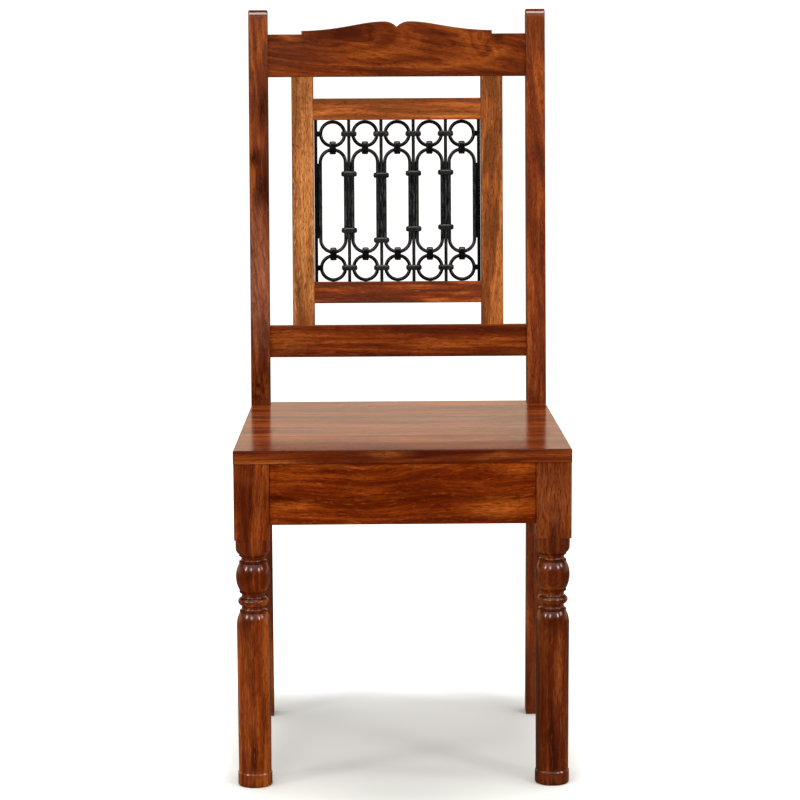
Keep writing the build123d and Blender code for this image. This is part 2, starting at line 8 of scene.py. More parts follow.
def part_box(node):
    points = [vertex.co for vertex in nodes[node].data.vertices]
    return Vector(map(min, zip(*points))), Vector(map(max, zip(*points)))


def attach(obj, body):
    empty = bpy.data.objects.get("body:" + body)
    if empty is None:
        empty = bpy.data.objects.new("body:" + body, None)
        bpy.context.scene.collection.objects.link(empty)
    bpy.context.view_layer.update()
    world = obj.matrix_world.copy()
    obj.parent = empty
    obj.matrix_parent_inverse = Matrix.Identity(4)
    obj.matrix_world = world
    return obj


# A wooden dining chair with an iron grille in its back: finishes, floor, light and camera.
# Metres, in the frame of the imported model: +Z up, front towards -Y.

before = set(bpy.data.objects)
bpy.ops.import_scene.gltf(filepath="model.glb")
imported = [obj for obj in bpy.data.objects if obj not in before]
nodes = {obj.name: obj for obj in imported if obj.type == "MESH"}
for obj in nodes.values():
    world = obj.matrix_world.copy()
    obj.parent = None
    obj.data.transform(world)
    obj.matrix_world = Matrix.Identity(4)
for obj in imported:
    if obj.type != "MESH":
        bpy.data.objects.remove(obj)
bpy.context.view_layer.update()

# The back leans by this much, and so do the faces of its pieces
BACK_LEAN = radians(6.0)

# Limits between which nearly all of a noise lies, and the middle of a noise of three parts
NOISE_LIMITS = (0.3, 0.7)
NOISE_MIDDLE = (0.5, 0.5, 0.5)

# How squarely a surface faces its nearest axis, on a rounded edge and on a flat face
EDGE_LIMITS = (0.9, 0.9995)

# Sockets of the node that mixes two colours
MIX_SHARE = 0
MIX_FIRST = 6
MIX_SECOND = 7
MIX_RESULT = 2


def colour(red, green, blue):
    """A display colour, in steps of 255, as a shader's linear colour, by the sRGB curve."""

    def linear(step):
        share = step / 255
        return share / 12.92 if share <= 0.04045 else ((share + 0.055) / 1.055) ** 2.4

    return (linear(red), linear(green), linear(blue), 1.0)


def shaded(tint, tone):
    """A linear colour made lighter or darker."""
    return (tint[0] * tone, tint[1] * tone, tint[2] * tone, 1.0)


def put(socket, value):
    """Links a socket to the output given, or sets its value."""
    if isinstance(value, bpy.types.NodeSocket):
        socket.id_data.links.new(value, socket)
    else:
        socket.default_value = value


def fill(node, inputs):
    """Sets inputs of a node by their names, with underscores for the spaces."""
    for name, value in inputs.items():
        put(node.inputs[name.replace("_", " ")], value)


class Shading:
    """A material or a world, with short calls for the nodes that it is made of."""

    def __init__(self, owner):
        owner.use_nodes = True
        self.owner = owner
        self.nodes = owner.node_tree.nodes

    def coat(self, **inputs):
        """Sets inputs of a material's surface."""
        fill(self.nodes["Principled BSDF"], inputs)

    def add(self, kind, settings, **inputs):
        """A new node with its settings and inputs."""
        node = self.nodes.new(kind)
        for name, value in settings.items():
            setattr(node, name, value)
        fill(node, inputs)
        return node

    def place(self, rotation=(0, 0, 0), location=(0, 0, 0)):
        """Places on the object, turned and then moved, in metres."""
        places = self.nodes.new("ShaderNodeTexCoord").outputs["Object"]
        return self.add(
            "ShaderNodeMapping", {}, Vector=places, Rotation=rotation, Location=location
        ).outputs[0]

    def parts(self, vector):
        """The three parts of a vector."""
        return self.add("ShaderNodeSeparateXYZ", {}, Vector=vector).outputs

    def vector(self, operation, first, second=None, third=None):
        """The result of an operation on vectors."""
        node = self.nodes.new("ShaderNodeVectorMath")
        node.operation = operation
        for socket, value in zip(node.inputs, (first, second, third)):
            if value is not None:
                put(socket, value)
        return node.outputs["Value" if operation == "LENGTH" else "Vector"]

    def math(self, operation, first, second=0.0):
        """The result of an operation on numbers."""
        node = self.nodes.new("ShaderNodeMath")
        node.operation = operation
        put(node.inputs[0], first)
        put(node.inputs[1], second)
        return node.outputs[0]

    def noise(self, places, clouds, detail=2.0, roughness=0.5, output="Fac"):
        """Cloudy noise with this many clouds to the metre along each axis."""
        scaled = self.vector("MULTIPLY", places, clouds)
        node = self.add(
            "ShaderNodeTexNoise", {}, Vector=scaled, Scale=1.0, Detail=detail, Roughness=roughness
        )
        return node.outputs[output]

    def layers(self, depth, scale, detail):
        """Noise that changes with one length alone, this many layers to the metre."""
        node = self.add(
            "ShaderNodeTexNoise", {"noise_dimensions": "1D"}, W=depth, Scale=scale, Detail=detail
        )
        return node.outputs[0]

    def ramp(self, share, *stops):
        """Colours at places from 0 to 1."""
        node = self.nodes.new("ShaderNodeValToRGB")
        put(node.inputs[0], share)
        band = node.color_ramp
        while len(band.elements) < len(stops):
            band.elements.new(1.0)
        for element, (place, tint) in zip(band.elements, stops):
            element.position = place
            element.color = tint
        return node.outputs["Color"]

    def between(self, value, low, high, out_low=0.0, out_high=1.0):
        """A value read between two limits as a share, or as a value between two others."""
        node = self.add("ShaderNodeMapRange", {"interpolation_type": "SMOOTHSTEP"}, Value=value)
        fill(node, {"From_Min": low, "From_Max": high, "To_Min": out_low, "To_Max": out_high})
        return node.outputs[0]

    def near(self, places, middle, reach):
        """1 at a place, falling to 0 at this reach along each axis."""
        offset = self.vector("DIVIDE", self.vector("SUBTRACT", places, middle), reach)
        return self.between(self.vector("LENGTH", offset), 0.0, 1.0, 1.0, 0.0)

    def mix(self, share, first, second, blend="MIX"):
        """Two colours blended, with this share of the second."""
        node = self.nodes.new("ShaderNodeMix")
        node.data_type = "RGBA"
        node.blend_type = blend
        put(node.inputs[MIX_SHARE], share)
        put(node.inputs[MIX_FIRST], first)
        put(node.inputs[MIX_SECOND], second)
        return node.outputs[MIX_RESULT]

    def bump(self, height, distance, strength):
        """The normal of a surface with these heights."""
        return self.add(
            "ShaderNodeBump", {}, Height=height, Distance=distance, Strength=strength
        ).outputs[0]

    def facing(self, lean):
        """How far the surface faces along each axis of a piece that leans back, from 0 to 1."""
        normal = self.nodes.new("ShaderNodeNewGeometry").outputs["Normal"]
        turned = self.add(
            "ShaderNodeVectorRotate", {"rotation_type": "X_AXIS"}, Vector=normal, Angle=lean
        ).outputs[0]
        return self.parts(self.vector("ABSOLUTE", turned))

    def edges(self, facing):
        """1 on the rounded edges of a squared piece, 0 on its flat faces."""
        widest = self.math("MAXIMUM", self.math("MAXIMUM", facing[0], facing[1]), facing[2])
        return self.between(widest, *EDGE_LIMITS, 1.0, 0.0)


def finish(name):
    """A new material."""
    return Shading(bpy.data.materials.new(name))


# Colours of the lacquered wood, from its dark bands to its sapwood and its pores, and a pinkish haze that
# is a painted reflection
DARK_BAND = colour(65, 18, 1)
BROWN = colour(102, 37, 4)
ORANGE = colour(135, 60, 11)
GOLD = colour(172, 94, 36)
SAPWOOD = colour(178, 120, 68)
STRAW = colour(206, 158, 108)
TAWNY = colour(140, 72, 38)
UMBER = colour(90, 44, 23)
REFLECTION_HAZE = colour(158, 96, 70)
PORE = colour(44, 12, 2)

# Stains over the wood, which multiply its colour
NO_STAIN = (1.0, 1.0, 1.0, 1.0)
RED_STAIN = (0.95, 0.75, 0.42, 1.0)
LEG_STAIN = (1.0, 0.94, 0.7, 1.0)


@dataclass
class Blot:
    """A patch in the wood: its place and reach in metres, its colour, its cover and its kind of rim."""

    middle: tuple
    reach: tuple
    tint: tuple
    share: float
    ragged: bool = True


@dataclass
class Plank:
    """How one wooden piece was cut and finished.

    The grain runs along an axis of the chair, sloping and plunging by some degrees. The sapwood, the
    pale wood, the reflection share (a painted reflection, a pinkish haze), the dashes, lines, veins and
    flecks are shares. The bands are the contrast of the wood and the wave is how much its grain sways.
    """

    grain: str
    tone: float = 1.0
    sapwood: float = 0.3
    pale: float = 0.0
    reflection_share: float = 0.0
    slope: float = 0.0
    plunge: float = 0.0
    ring_scale: float = 70.0
    bands: float = 1.0
    wave: float = 1.0
    dashes: float = 0.3
    lines: float = 0.22
    veins: float = 0.25
    flecks: float = 0.4
    fleck_tint: tuple = GOLD
    lean: float = 0.0
    squared: bool = True
    roughness: float = 0.1
    edge_gloss: float = 0.2
    stain: tuple = NO_STAIN
    blots: tuple = ()
    knots: tuple = ()


# Sides and depths at which patches sit
LEG_SIDE = 0.199
LEG_DEPTH = -0.2
LEG_FRONT = -0.222
APRON_FRONT = -0.223
SEAT_FRONT = -0.2243
CREST_FRONT = 0.19

# Dark lines in the joints of the front frame, and painted shade as dark lines in the turned grooves
SEAT_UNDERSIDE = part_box("front_apron")[1].z
JOINT_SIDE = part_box("front_leg_right")[0].x
JOINT_HEIGHT = 0.4
JOINT_LINE = 0.0025
JOINT_SHARE = 0.7
GROOVE_SHADE_WIDTH = 0.0024
GROOVE_SHADE_SHARE = 0.6
GROOVE_HEIGHTS = (0.3135, 0.3045, 0.264, 0.2565, 0.2455, 0.2375)
LINE_REACH = 1.0


def level_line(height, line, share):
    """A dark line all round a piece."""
    return Blot((0.0, LEG_DEPTH, height), (LINE_REACH, LINE_REACH, line), PORE, share, ragged=False)


def upright_joint(side):
    """The dark line where the front apron meets a leg."""
    reach = (JOINT_LINE, LINE_REACH, LINE_REACH)
    return Blot((side, LEG_DEPTH, JOINT_HEIGHT), reach, PORE, JOINT_SHARE, ragged=False)


SEAT_JOINT = level_line(SEAT_UNDERSIDE, JOINT_LINE, JOINT_SHARE)
LEG_JOINTS = (upright_joint(-JOINT_SIDE), upright_joint(JOINT_SIDE))
# Painted shade: dark rings in the grooves of the turned legs
GROOVE_SHADE = tuple(level_line(height, GROOVE_SHADE_WIDTH, GROOVE_SHADE_SHARE) for height in GROOVE_HEIGHTS)

# Patches of the front legs, and painted highlight and shade along their shafts
LEFT_BLOCK_SHADE = Blot((-LEG_SIDE, LEG_DEPTH, 0.392), (0.07, 0.07, 0.075), DARK_BAND, 0.78)
RIGHT_BLOCK_HAZE = Blot((LEG_SIDE, LEG_DEPTH, 0.39), (0.08, 0.08, 0.075), TAWNY, 0.85)
LEFT_LEG_MARKS_AND_PAINTED_LIGHT = (
    Blot((-0.207, LEG_FRONT, 0.422), (0.02, 0.04, 0.018), GOLD, 0.15),
    Blot((-LEG_SIDE, LEG_DEPTH, 0.284), (0.05, 0.05, 0.024), DARK_BAND, 0.35),
    Blot((-LEG_SIDE, -0.21, 0.3), (0.06, 0.06, 0.06), DARK_BAND, 0.55),
    # Painted highlight: a golden stripe down the shaft, then painted shade on its inner side
    Blot((-0.2055, -0.225, 0.12), (0.009, 0.04, 0.2), GOLD, 0.4),
    Blot((-0.19, LEG_FRONT, 0.13), (0.009, 0.04, 0.25), DARK_BAND, 0.45),
    Blot((-0.206, LEG_FRONT, 0.225), (0.012, 0.03, 0.02), DARK_BAND, 0.6),
    Blot((-LEG_SIDE, LEG_FRONT, 0.294), (0.006, 0.03, 0.012), PORE, 0.75),
    Blot((-0.205, LEG_FRONT, 0.287), (0.012, 0.03, 0.008), PORE, 0.5),
    Blot((-LEG_SIDE, LEG_FRONT, 0.247), (0.007, 0.03, 0.006), GOLD, 0.7),
    Blot((-0.195, LEG_FRONT, 0.012), (0.025, 0.04, 0.02), GOLD, 0.45),
)
RIGHT_LEG_MARKS_AND_PAINTED_LIGHT = (
    Blot((LEG_SIDE, LEG_DEPTH, 0.284), (0.05, 0.05, 0.026), DARK_BAND, 0.5),
    # Painted shade on the inner side of the shaft
    Blot((0.184, LEG_FRONT, 0.12), (0.014, 0.04, 0.3), DARK_BAND, 0.6),
    Blot((0.207, LEG_FRONT, 0.15), (0.008, 0.04, 0.09), GOLD, 0.15),
    Blot((0.19, LEG_FRONT, 0.07), (0.012, 0.04, 0.012), PORE, 0.6),
    Blot((0.197, LEG_FRONT, 0.228), (0.03, 0.04, 0.03), DARK_BAND, 0.85),
    Blot((0.2, LEG_FRONT, 0.01), (0.03, 0.04, 0.016), TAWNY, 0.4),
)

# Patches of the back
# Painted reflection: a pinkish haze over the middle of the left post
POST_REFLECTION = Blot((-0.196, 0.156, 0.64), (0.04, 0.08, 0.15), REFLECTION_HAZE, 0.7)
POST_SHADE = Blot((-0.197, 0.141, 0.48), (0.04, 0.08, 0.085), DARK_BAND, 0.85)
POST_EDGE = Blot((-0.1845, 0.165, 0.74), (0.007, 0.05, 0.1), PORE, 0.6)
POST_SMOKE = (
    Blot((-0.199, 0.174, 0.805), (0.016, 0.05, 0.026), PORE, 1.0),
    Blot((-0.19, 0.169, 0.765), (0.016, 0.05, 0.045), PORE, 0.9),
    Blot((-0.189, 0.181, 0.875), (0.016, 0.05, 0.05), PORE, 0.8),
)
POST_TOP_HAZE = Blot((0.195, 0.19, 0.975), (0.03, 0.06, 0.06), UMBER, 0.6)
RAIL_END = Blot((-0.15, 0.15, 0.545), (0.05, 0.05, 0.03), GOLD, 0.45)
STILE_FOOT = Blot((-0.135, 0.16, 0.575), (0.03, 0.05, 0.03), BROWN, 0.5)
CREST_DUSK = Blot((-0.14, CREST_FRONT, 0.955), (0.09, 0.05, 0.05), UMBER, 0.6)
CREST_SHADE = (
    Blot((-0.075, 0.192, 0.975), (0.03, 0.03, 0.014), PORE, 0.5),
    Blot((0.142, CREST_FRONT, 0.971), (0.012, 0.03, 0.012), PORE, 0.85),
)
CREST_FLAME = (
    Blot((-0.154, CREST_FRONT, 0.974), (0.03, 0.03, 0.009), GOLD, 0.6),
    Blot((0.152, CREST_FRONT, 0.953), (0.014, 0.03, 0.009), GOLD, 0.5),
    Blot((0.138, CREST_FRONT, 0.952), (0.005, 0.03, 0.014), GOLD, 0.55),
)
CREST_KNOT = Blot((0.118, CREST_FRONT, 0.968), (0.018, 0.06, 0.03), GOLD, 0.15)

# Patches of the front apron and the seat
APRON_GOLD = (
    Blot((-0.142, APRON_FRONT, 0.385), (0.05, 0.03, 0.01), GOLD, 0.7),
    Blot((-0.12, APRON_FRONT, 0.434), (0.07, 0.03, 0.007), GOLD, 0.4),
    Blot((0.128, APRON_FRONT, 0.38), (0.085, 0.03, 0.02), GOLD, 0.8),
    Blot((0.15, APRON_FRONT, 0.43), (0.03, 0.03, 0.014), GOLD, 0.65),
    Blot((0.0, APRON_FRONT, 0.4345), (0.17, 0.03, 0.005), GOLD, 0.35),
)
APRON_SHADE = Blot((0.0, APRON_FRONT, 0.398), (0.11, 0.03, 0.035), DARK_BAND, 0.3)
SEAT_FRONT_SHADE_AND_GOLD = (
    # Painted shade: the front face of the seat is darker than its top; golden grain patches follow
    Blot((0.0, SEAT_FRONT, 0.446), (0.6, 0.014, 0.06), DARK_BAND, 0.55),
    Blot((-0.17, SEAT_FRONT, 0.441), (0.07, 0.012, 0.005), GOLD, 0.6),
    Blot((-0.02, SEAT_FRONT, 0.452), (0.05, 0.012, 0.008), GOLD, 0.4),
    Blot((0.13, SEAT_FRONT, 0.447), (0.06, 0.012, 0.006), GOLD, 0.35),
)
SEAT_SHADE = Blot((0.16, -0.03, 0.457), (0.075, 0.3, 0.03), DARK_BAND, 0.45)


def seat_board(*patches, tone, slope, bands):
    """One of the boards that the seat is glued up from."""
    return Plank(
        "X",
        tone=tone,
        slope=slope,
        bands=bands,
        lines=0.12,
        roughness=0.16,
        blots=(*patches, SEAT_SHADE),
    )


PLANKS = {
    "front_leg_left": Plank(
        "Z",
        tone=1.13,
        sapwood=0.45,
        reflection_share=0.02,
        bands=1.3,
        dashes=0.5,
        flecks=0.6,
        squared=False,
        roughness=0.15,
        stain=LEG_STAIN,
        blots=(LEFT_BLOCK_SHADE, *LEFT_LEG_MARKS_AND_PAINTED_LIGHT, *GROOVE_SHADE, SEAT_JOINT),
    ),
    "front_leg_right": Plank(
        "Z",
        tone=0.7,
        reflection_share=0.02,
        bands=1.45,
        dashes=0.7,
        flecks=0.6,
        squared=False,
        roughness=0.15,
        stain=LEG_STAIN,
        blots=(RIGHT_BLOCK_HAZE, *RIGHT_LEG_MARKS_AND_PAINTED_LIGHT, *GROOVE_SHADE, SEAT_JOINT),
    ),
    "rear_post_left": Plank(
        "Z",
        tone=0.8,
        sapwood=0.4,
        reflection_share=0.14,
        bands=2.2,
        dashes=0.12,
        flecks=0.15,
        edge_gloss=1.0,
        blots=(POST_REFLECTION, POST_SHADE, POST_EDGE, *POST_SMOKE),
    ),
    "rear_post_right": Plank(
        "Z",
        sapwood=0.4,
        reflection_share=0.13,
        bands=1.25,
        dashes=0.4,
        edge_gloss=1.0,
        blots=(POST_TOP_HAZE,),
    ),
    "side_apron_left": Plank("Y", tone=0.9),
    "side_apron_right": Plank("Y", tone=0.9),
    "front_apron": Plank(
        "X",
        tone=0.92,
        sapwood=0.35,
        slope=1,
        bands=0.75,
        wave=2.2,
        dashes=0.45,
        veins=0.35,
        flecks=0.85,
        stain=RED_STAIN,
        blots=(*APRON_GOLD, APRON_SHADE, SEAT_JOINT, *LEG_JOINTS),
    ),
    "rear_apron": Plank("X", tone=0.9, slope=-2),
    "crest_rail": Plank(
        "X",
        tone=0.84,
        sapwood=0.35,
        reflection_share=0.06,
        slope=-8,
        plunge=5,
        ring_scale=130,
        dashes=0.35,
        lines=0.3,
        veins=0.6,
        flecks=0.25,
        lean=BACK_LEAN,
        blots=(CREST_DUSK, *CREST_SHADE, *CREST_FLAME),
        knots=(CREST_KNOT,),
    ),
    "lower_back_rail": Plank(
        "X",
        tone=1.15,
        sapwood=0.45,
        reflection_share=0.05,
        slope=-1,
        bands=1.2,
        lean=BACK_LEAN,
        blots=(RAIL_END,),
    ),
    "panel_rail_top": Plank("X", tone=1.5, sapwood=0.4, pale=0.22, bands=1.2, lean=BACK_LEAN),
    "panel_rail_bottom": Plank("X", tone=1.37, sapwood=0.7, reflection_share=0.17, bands=2.3, lean=BACK_LEAN),
    "panel_stile_left": Plank(
        "Z",
        tone=1.3,
        sapwood=0.6,
        pale=0.55,
        bands=1.2,
        dashes=0.6,
        flecks=0.6,
        fleck_tint=STRAW,
        lean=BACK_LEAN,
        blots=(STILE_FOOT,),
    ),
    "panel_stile_right": Plank(
        "Z",
        tone=1.3,
        sapwood=0.5,
        pale=0.3,
        bands=1.7,
        dashes=0.5,
        flecks=0.5,
        lean=BACK_LEAN,
    ),
    "seat_board_1": seat_board(*SEAT_FRONT_SHADE_AND_GOLD, tone=1.1, slope=1, bands=1.1),
    "seat_board_2": seat_board(tone=1.2, slope=-1, bands=1.15),
    "seat_board_3": seat_board(tone=1.12, slope=0.5, bands=1.15),
    "seat_board_4": seat_board(tone=1.2, slope=-0.5, bands=1.15),
}

# Turns that bring each axis of the chair to the grain's own x axis
GRAIN_TURNS = {"X": (0.0, 0.0, 0.0), "Y": (0.0, 0.0, -pi / 2), "Z": (0.0, pi / 2, 0.0)}

# How far away the pith of each plank's tree lies, and its turn and step from one plank to the next
PITH_DISTANCE = 0.055
PITH_TURN = 2.4
PITH_SPACING = 0.37

# Clouds of noise to the metre, along the grain and across it
SWAY_CLOUDS = (4.0, 14.0, 14.0)
FRAY_CLOUDS = (18.0, 60.0, 60.0)
PATCH_CLOUDS = (4.0, 34.0, 34.0)
STREAK_CLOUDS = (8.0, 150.0, 150.0)
FLECK_CLOUDS = (55.0, 480.0, 480.0)
DASH_CLOUDS = (80.0, 800.0, 800.0)
PORE_CLOUDS = (120.0, 1100.0, 1100.0)

# Layers of fine lines and half waves of veins to the metre, counted outwards from the pith
FINE_LINE_SCALE = 320.0
VEIN_SCALE = 200.0

# How far noise carries the grain, the rims of patches and the veins
SWAY = 0.024
FRAY = 0.02
VEIN_WANDER = 0.02

# The figure, a value that the wood's colours follow: its make-up and where each colour lies in it
RING_SHARE = 0.4
PATCH_SHARE = 0.3
STREAK_SHARE = 0.3
MIDDLE_FIGURE = 0.5
DARK_FIGURE = 0.39
BROWN_FIGURE = 0.48
ORANGE_FIGURE = 0.57
GOLD_FIGURE = (0.5, 0.66)
PALE_FIGURE = (0.4, 0.62)
LEAST_PALE = 0.6
MOST_PALE = 1.4

# Limits at which the marks of the wood set in and are full, some with their shares there
FLECK_LIMITS = (0.55, 0.72)
FLECKED_PATCHES = (0.4, 0.62)
LEAST_FLECKED = 0.3
BLOT_GRAIN = (0.35, 0.65, 0.6, 1.3)
LINE_LIMITS = (0.45, 0.65)
VEIN_LIMITS = (0.75, 1.0)
VEIN_FADE = (0.4, 0.6, 1.0, 0.3)
DASH_LIMITS = (0.5, 0.68)
PORE_MARKS = (0.56, 0.68, 0.0, 0.5)

# Painted shade on the rounded edges, the dark of end grain, and the lacquer over the wood
PAINTED_EDGE_SHADE = 0.4
END_GRAIN_SHADE = (0.8, 0.97, 0.0, 0.6)
LACQUER_IOR = 1.5
LACQUER_SPECULAR = 0.5
LEAST_ROUGH = 0.7
MOST_ROUGH = 1.3
WORN_ROUGHNESS = 0.45
FLECK_RELIEF = 0.6
WOOD_RELIEF = 0.0001
WOOD_BUMP = 0.15


class LacqueredWood(Shading):
    """Hardwood with soft dark bands, golden flecks, dark dashes, fine pores and a gloss lacquer."""

    def __init__(self, node, plank, number):
        super().__init__(bpy.data.materials.new(f"{node}_wood"))
        self.plank = plank
        self.dark = shaded(DARK_BAND, plank.tone)
        self.spots = self.place()
        self.draw_grain(self.grain_places(node, number))
        tint = self.flecked(self.figured())
        tint = self.lined(self.blotted(tint))
        self.lacquer(tint)

    def grain_places(self, node, number):
        """Places on the plank with x along its grain and its pith at the zero of y and z."""
        low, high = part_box(node)
        turn = Euler(GRAIN_TURNS[self.plank.grain]).to_matrix()
        slope = Matrix.Rotation(radians(self.plank.slope), 3, "Y")
        plunge = Matrix.Rotation(radians(self.plank.plunge), 3, "Z")
        rotation = plunge @ slope @ turn
        angle = number * PITH_TURN
        pith = Vector((PITH_SPACING * number, PITH_DISTANCE * cos(angle), PITH_DISTANCE * sin(angle)))
        middle = rotation @ ((low + high) / 2)
        return self.place(rotation.to_euler(), pith - middle)

    def draw_grain(self, places):
        """The noises that the figure and the marks of the plank are drawn with."""
        fray = self.noise(places, FRAY_CLOUDS, detail=3.0, output="Color")
        fray = self.vector("SUBTRACT", fray, NOISE_MIDDLE)
        self.frayed = self.vector("MULTIPLY_ADD", fray, (FRAY, FRAY, FRAY), self.spots)
        sway = self.noise(places, SWAY_CLOUDS, detail=3.0, output="Color")
        wave = SWAY * self.plank.wave
        swayed = self.vector("MULTIPLY_ADD", sway, (0.0, wave, wave), places)
        self.across = self.pith_distance(swayed)
        self.rings = self.layers(self.across, self.plank.ring_scale, detail=2.5)
        self.patch = self.noise(swayed, PATCH_CLOUDS, detail=3.0)
        self.streak = self.noise(swayed, STREAK_CLOUDS, detail=3.0)
        self.fleck = self.noise(swayed, FLECK_CLOUDS, roughness=0.6)
        self.dash = self.noise(swayed, DASH_CLOUDS)
        self.pores = self.between(self.noise(swayed, PORE_CLOUDS, detail=1.0), *PORE_MARKS)

    def pith_distance(self, swayed):
        """The distance from the pith, which swells at the knots."""
        across = self.vector("LENGTH", self.vector("MULTIPLY", swayed, (0.0, 1.0, 1.0)))
        for knot in self.plank.knots:
            near_knot = self.near(self.frayed, knot.middle, knot.reach)
            across = self.math("ADD", across, self.math("MULTIPLY", near_knot, knot.reach[0]))
        return across

    def figured(self):
        """Dark, brown, orange and golden bands, and pale sapwood where the plank has some."""
        plank = self.plank
        figure = self.math("MULTIPLY", self.rings, RING_SHARE)
        figure = self.math("ADD", figure, self.math("MULTIPLY", self.patch, PATCH_SHARE))
        figure = self.math("ADD", figure, self.math("MULTIPLY", self.streak, STREAK_SHARE))
        figure = self.math("MULTIPLY", figure, plank.bands)
        figure = self.math("ADD", figure, MIDDLE_FIGURE * (1.0 - plank.bands))
        tint = self.ramp(
            figure,
            (DARK_FIGURE, self.dark),
            (BROWN_FIGURE, shaded(BROWN, plank.tone)),
            (ORANGE_FIGURE, shaded(ORANGE, plank.tone)),
        )
        golden = self.between(figure, *GOLD_FIGURE, 0.0, plank.sapwood)
        tint = self.mix(golden, tint, shaded(GOLD, plank.tone))
        if plank.pale > 0:
            pale = self.between(figure, *PALE_FIGURE, LEAST_PALE * plank.pale, MOST_PALE * plank.pale)
            tint = self.mix(pale, tint, shaded(SAPWOOD, plank.tone))
        return tint

    def flecked(self, tint):
        """Light flecks, most of them in the light patches, and a pinkish haze over the whole, a painted
        reflection.
        """
        plank = self.plank
        flecks = self.between(self.patch, *FLECKED_PATCHES, LEAST_FLECKED * plank.flecks, plank.flecks)
        flecks = self.math("MULTIPLY", self.between(self.fleck, *FLECK_LIMITS), flecks)
        tint = self.mix(flecks, tint, shaded(plank.fleck_tint, plank.tone))
        # Painted reflection: a pinkish haze mixed over the whole plank
        return self.mix(plank.reflection_share, tint, REFLECTION_HAZE)

    def blotted(self, tint):
        """The patches of the plank, broken up by its grain."""
        grain = self.between(self.fleck, *BLOT_GRAIN)
        for blot in self.plank.blots + self.plank.knots:
            spots = self.frayed if blot.ragged else self.spots
            cover = self.math("MULTIPLY", self.near(spots, blot.middle, blot.reach), blot.share)
            tint = self.mix(self.math("MULTIPLY", cover, grain), tint, blot.tint)
        return tint

    def lined(self, tint):
        """Dark fine lines, winding veins, dashes and pores."""
        plank = self.plank
        lines = self.layers(self.across, FINE_LINE_SCALE, detail=1.0)
        lines = self.between(lines, *LINE_LIMITS, 0.0, plank.lines)
        winding = self.math("ADD", self.across, self.math("MULTIPLY", self.rings, VEIN_WANDER))
        veins = self.math("PINGPONG", self.math("MULTIPLY", winding, VEIN_SCALE), 1.0)
        veins = self.between(veins, *VEIN_LIMITS, 0.0, plank.veins)
        veins = self.math("MULTIPLY", veins, self.between(self.streak, *VEIN_FADE))
        dashes = self.between(self.dash, *DASH_LIMITS, 0.0, plank.dashes)
        for marks in (lines, veins, dashes):
            tint = self.mix(marks, tint, self.dark)
        return self.mix(self.pores, tint, PORE)

    def lacquer(self, tint):
        """The lacquer over the wood, with dark end grain and, on a squared plank, painted shade and
        duller lacquer on the rounded edges.
        """
        plank = self.plank
        facing = self.facing(plank.lean)
        roughness = self.between(
            self.fleck, *NOISE_LIMITS, LEAST_ROUGH * plank.roughness, MOST_ROUGH * plank.roughness
        )
        if plank.squared:
            edges = self.edges(facing)
            # Painted shade: the rounded edges are darkened
            tint = self.mix(self.math("MULTIPLY", edges, PAINTED_EDGE_SHADE), tint, DARK_BAND)
            dull = self.math("MULTIPLY", edges, 1.0 - plank.edge_gloss)
            roughness = self.math("MAXIMUM", roughness, self.math("MULTIPLY", dull, WORN_ROUGHNESS))
            self.coat(Specular_IOR_Level=self.between(dull, 0.0, 1.0, LACQUER_SPECULAR, 0.0))
        end_grain = self.between(facing["XYZ".index(plank.grain)], *END_GRAIN_SHADE)
        tint = self.mix(end_grain, tint, DARK_BAND)
        tint = self.mix(1.0, tint, plank.stain, blend="MULTIPLY")
        relief = self.math("SUBTRACT", self.math("MULTIPLY", self.fleck, FLECK_RELIEF), self.pores)
        self.coat(
            Base_Color=tint,
            Roughness=roughness,
            IOR=LACQUER_IOR,
            Normal=self.bump(relief, WOOD_RELIEF, WOOD_BUMP),
        )


# Sawn timber: the turn and the shift from one block to the next, its streaks and its saw marks
FIRST_BLOCK_TURN = 45.0
BLOCK_TURN = 90.0
BLOCK_SPACING = 0.3
TIMBER_SHIFT = 0.1
TIMBER_STREAKS = (20.0, 240.0, 240.0)
SAW_MARKS = (700.0, 30.0, 30.0)
TIMBER_TINTS = ((0.3, colour(150, 110, 70)), (0.5, colour(186, 147, 102)), (0.72, colour(208, 176, 132)))
TIMBER_ROUGHNESS = (0.7, 0.85)
SAW_MARK_HEIGHT = 0.6
TIMBER_RELIEF = 0.0004
TIMBER_BUMP = 0.5


def sawn_wood(node, number):
    """Unfinished pale timber of the hidden corner blocks, with saw marks."""
    wood = finish(f"{node}_timber")
    turn = radians(FIRST_BLOCK_TURN + BLOCK_TURN * number)
    places = wood.place((0.0, 0.0, turn), (BLOCK_SPACING * number, TIMBER_SHIFT, 0.0))
    streaks = wood.noise(places, TIMBER_STREAKS, detail=3.0, roughness=0.6)
    saw = wood.noise(places, SAW_MARKS, detail=1.0)
    relief = wood.math("ADD", streaks, wood.math("MULTIPLY", saw, SAW_MARK_HEIGHT))
    wood.coat(
        Base_Color=wood.ramp(streaks, *TIMBER_TINTS),
        Roughness=wood.between(streaks, *NOISE_LIMITS, *TIMBER_ROUGHNESS),
        Normal=wood.bump(relief, TIMBER_RELIEF, TIMBER_BUMP),
    )
    return wood.owner


# Iron: its uneven paint, and painted glints, which are light streaks along the grille's uprights
PAINT_CLOUDS = (90.0, 90.0, 90.0)
PAINT_PITS = (900.0, 900.0, 900.0)
IRON_DENTS = (140.0, 140.0, 140.0)
DARK_PAINT = 0.35
LIGHT_PAINT = 0.75
IRON_GLOSS = 0.3
IRON_ROUGHNESS = (0.13, 0.24)
PIT_HEIGHT = 0.02
IRON_RELIEF = 0.0005
IRON_BUMP = 0.12
GLINT_CLOUDS = (800.0, 800.0, 16.0)
GLINT_LIMITS = (0.42, 0.75)
GLINT_MIDDLE = (0.0, 0.16, 0.715)
GLINT_REACH = (1.0, 1.0, 0.14)
GLINT_GREY = colour(112, 109, 104)


